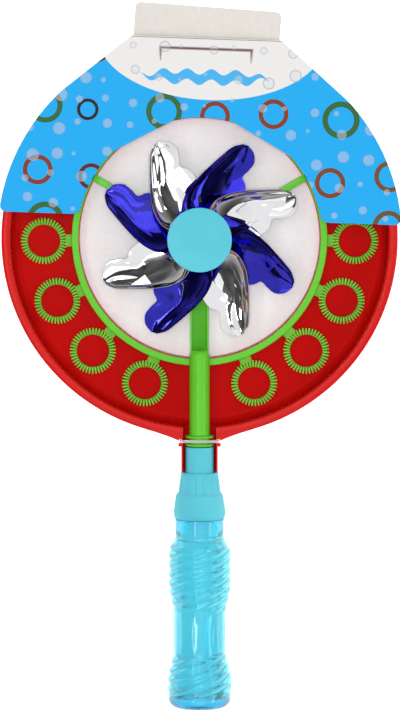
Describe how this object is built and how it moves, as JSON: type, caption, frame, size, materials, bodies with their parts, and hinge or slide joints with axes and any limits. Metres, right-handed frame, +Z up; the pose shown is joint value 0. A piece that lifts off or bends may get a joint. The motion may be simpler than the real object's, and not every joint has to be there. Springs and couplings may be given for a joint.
{
  "type": "bubble windmill",
  "caption": "Ring-shaped dipping tray holding a wand of ribbed bubble loops and a foil pinwheel, with a bottle of solution screwed on as the handle and a folded header card.",
  "frame": {"origin": "under the middle of the object's box, on the surface it lies on", "axes": "+X right and +Y from the handle to the hang tab as seen from the front, +Z up out of the front"},
  "size_m": [0.2474, 0.4384, 0.0402],
  "materials": {
    "red_plastic": "moulded, slight gloss",
    "green_plastic": "moulded, satin",
    "pale_blue_plastic": "moulded, matt",
    "blue_bottle": "clear tinted",
    "solution": "clear liquid",
    "clear_plastic": "clear",
    "seal": "soft white",
    "steel": "drawn wire",
    "blue_foil": "metallised film",
    "silver_foil": "metallised film",
    "printed_card": "printed, satin",
    "pale_card": "uncoated"
  },
  "bodies": {
    "tray": {"tray": "red_plastic"},
    "wand": {"wand_frame": "green_plastic", "retaining_strap": "clear_plastic", "handle_cap": "pale_blue_plastic", "cap_liner": "seal", "rotor_axle": "steel", "bubble_loop_01": "green_plastic", "bubble_loop_02": "green_plastic", "bubble_loop_03": "green_plastic", "bubble_loop_04": "green_plastic", "bubble_loop_05": "green_plastic", "bubble_loop_06": "green_plastic", "bubble_loop_07": "green_plastic", "bubble_loop_08": "green_plastic", "bubble_loop_09": "green_plastic", "bubble_loop_10": "green_plastic", "bubble_loop_11": "green_plastic", "bubble_loop_12": "green_plastic", "bubble_loop_13": "green_plastic", "bubble_loop_14": "green_plastic", "bubble_loop_15": "green_plastic"},
    "rotor": {"rotor_hub": "pale_blue_plastic", "rotor_cap": "pale_blue_plastic", "rotor_washer": "seal", "foil_blade_blue_1": "blue_foil", "foil_blade_blue_2": "blue_foil", "foil_blade_blue_3": "blue_foil", "foil_blade_blue_4": "blue_foil", "foil_blade_silver_1": "silver_foil", "foil_blade_silver_2": "silver_foil", "foil_blade_silver_3": "silver_foil", "foil_blade_silver_4": "silver_foil"},
    "card": {"card_back": "pale_card"},
    "flap": {"card_front": "printed_card"},
    "solution": {"bubble_solution": "solution"},
    "bottle": {"bottle": "blue_bottle"}
  },
  "joints": [
    {"name": "wand_lift", "type": "slide", "parent": "tray", "child": "wand", "axis": [0, 0, 1], "range_m": [0, 0.08]},
    {"name": "rotor_spin", "type": "hinge", "parent": "wand", "child": "rotor", "pos_m": [-0.00059, 0.07299, 0.02], "axis": [0, 0, 1], "continuous": true},
    {"name": "card_slide", "type": "slide", "parent": "tray", "child": "card", "axis": [0.0349, 0.9994, 0], "range_m": [0, 0.22]},
    {"name": "card_flap", "type": "hinge", "parent": "card", "child": "flap", "pos_m": [0.00372, 0.19622, 0.0248], "axis": [-0.9994, 0.0349, 0], "range_deg": [0, 170]},
    {"name": "bottle_draw", "type": "slide", "parent": "wand", "child": "solution", "axis": [0, -1, 0], "range_m": [0, 0.0121]},
    {"name": "bottle_turn", "type": "hinge", "parent": "solution", "child": "bottle", "pos_m": [-0.00059, -0.15701, 0.0201], "axis": [0, -1, 0], "range_deg": [0, 1080]}
  ],
  "couplings": [
    {"joint": "card_flap", "follows": "wand_lift", "rad_per_m": 37.08},
    {"joint": "bottle_draw", "follows": "bottle_turn", "m_per_rad": 0.00063662}
  ]
}
